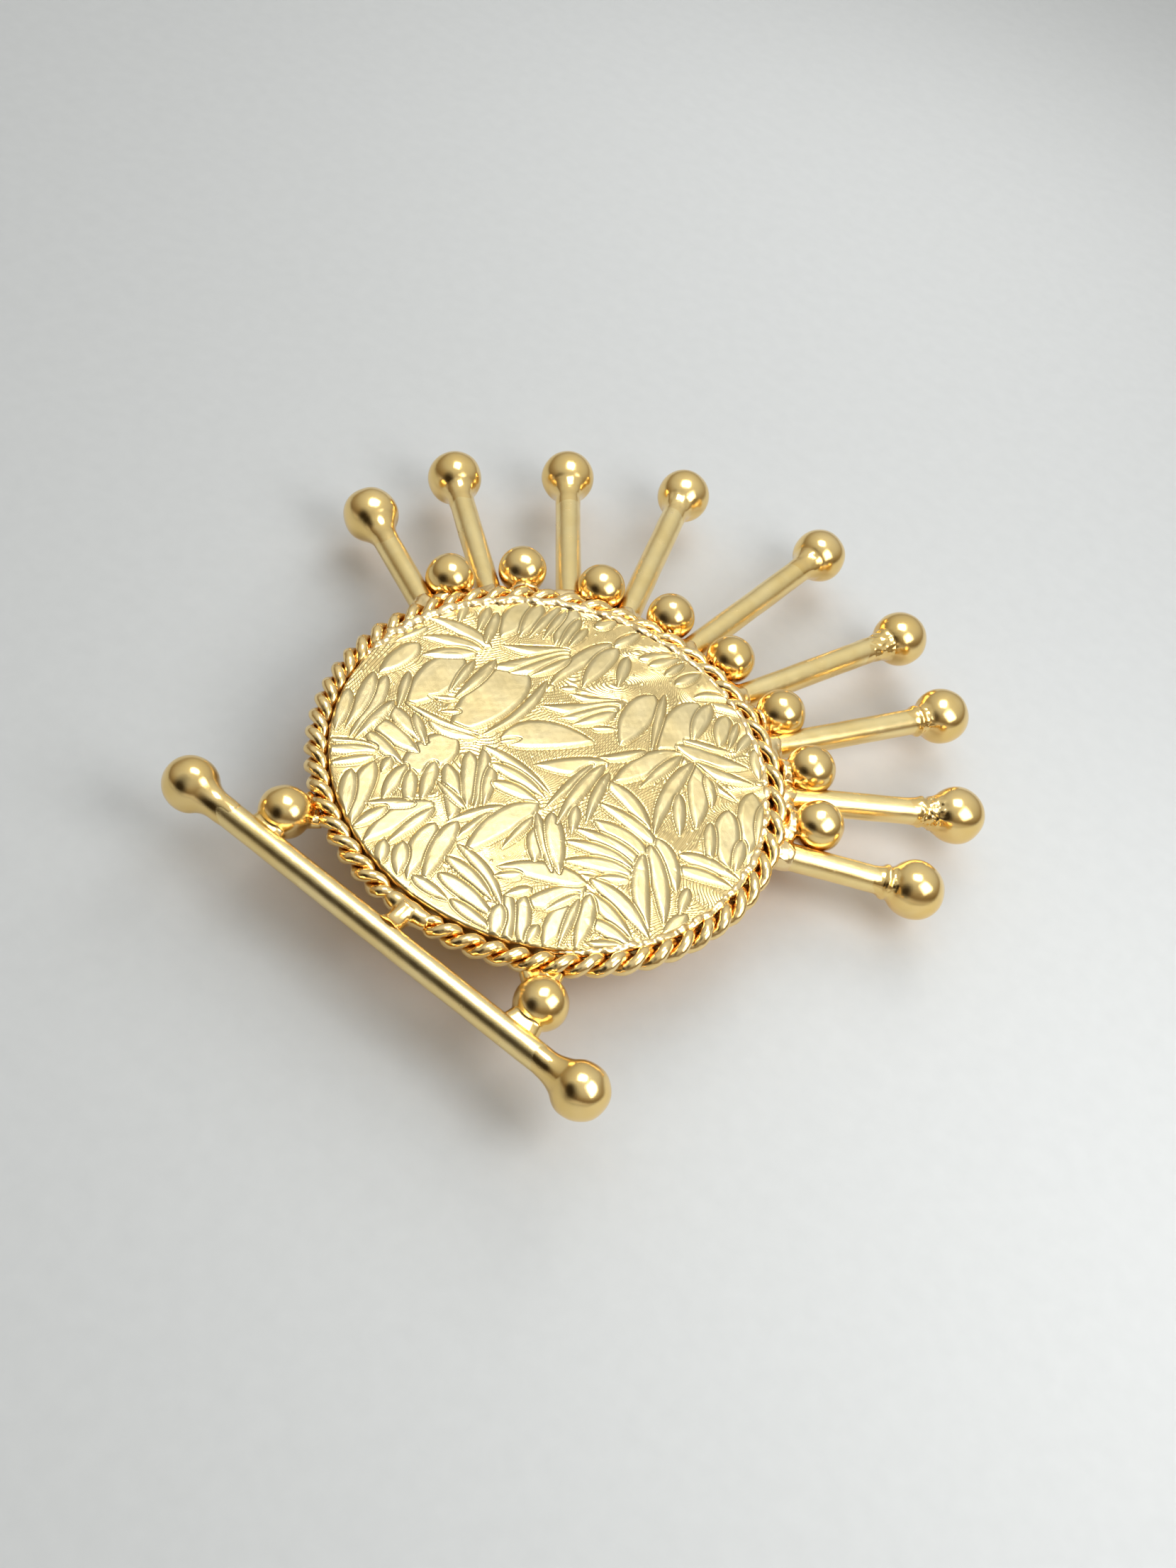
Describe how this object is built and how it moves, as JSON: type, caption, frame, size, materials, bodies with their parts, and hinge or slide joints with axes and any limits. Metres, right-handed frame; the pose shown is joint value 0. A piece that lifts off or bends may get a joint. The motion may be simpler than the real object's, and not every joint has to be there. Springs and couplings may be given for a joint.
{
  "type": "sunburst brooch",
  "caption": "Round brooch with a leaf-relief face in a twisted rope rim, ball-tipped rays above, a ball-ended bar below, and a hinged pin with a turning safety catch behind.",
  "frame": {"origin": "middle of the pin's straight part, on its axis, where the cloth that it is worn on sits", "axes": "+X along the pin from its hinge to its catch, +Y towards the rays, +Z out of the patterned face"},
  "size_m": [0.0607, 0.0649, 0.0084],
  "materials": {
    "relief_gold": "matt 24 carat gold plate over stamped leaf relief, fine linen grain in the ground",
    "rope_gold": "satin gold plate on twisted wire and solder, darker in the grooves",
    "satin_gold": "satin gold plate with fine marks along the wire",
    "polished_gold": "polished gold plate, slightly uneven",
    "finding_gold": "bright gold plate on the pin and catch"
  },
  "bodies": {
    "brooch": {"face_plate": "relief_gold", "back_plate": "satin_gold", "rope_strand_a": "rope_gold", "rope_strand_b": "rope_gold", "rope_joint": "rope_gold", "ray_wire_1": "satin_gold", "ray_wire_2": "satin_gold", "ray_wire_3": "satin_gold", "ray_wire_4": "satin_gold", "ray_wire_5": "satin_gold", "ray_wire_6": "satin_gold", "ray_wire_7": "satin_gold", "ray_wire_8": "satin_gold", "ray_wire_9": "satin_gold", "ray_ball_1": "polished_gold", "ray_ball_2": "polished_gold", "ray_ball_3": "polished_gold", "ray_ball_4": "polished_gold", "ray_ball_5": "polished_gold", "ray_ball_6": "polished_gold", "ray_ball_7": "polished_gold", "ray_ball_8": "polished_gold", "ray_ball_9": "polished_gold", "rim_bead_1": "polished_gold", "rim_bead_2": "polished_gold", "rim_bead_3": "polished_gold", "rim_bead_4": "polished_gold", "rim_bead_5": "polished_gold", "rim_bead_6": "polished_gold", "rim_bead_7": "polished_gold", "rim_bead_8": "polished_gold", "rim_solder": "rope_gold", "bar_rod": "satin_gold", "bar_ball_left": "polished_gold", "bar_ball_right": "polished_gold", "bar_bead_left": "polished_gold", "bar_bead_right": "polished_gold", "hinge_bracket": "finding_gold", "hinge_rivet": "finding_gold", "catch_housing": "finding_gold"},
    "pin": {"pin_stem": "finding_gold"},
    "lock": {"locking_barrel": "finding_gold"}
  },
  "joints": [
    {"name": "pin_hinge", "type": "hinge", "parent": "brooch", "child": "pin", "pos_m": [-0.0135, 0, 0], "axis": [0, 1, 0], "range_deg": [0, 70]},
    {"name": "lock_turn", "type": "hinge", "parent": "brooch", "child": "lock", "pos_m": [0.0132, 0, 0], "axis": [1, 0, 0], "range_deg": [0, 90]}
  ]
}
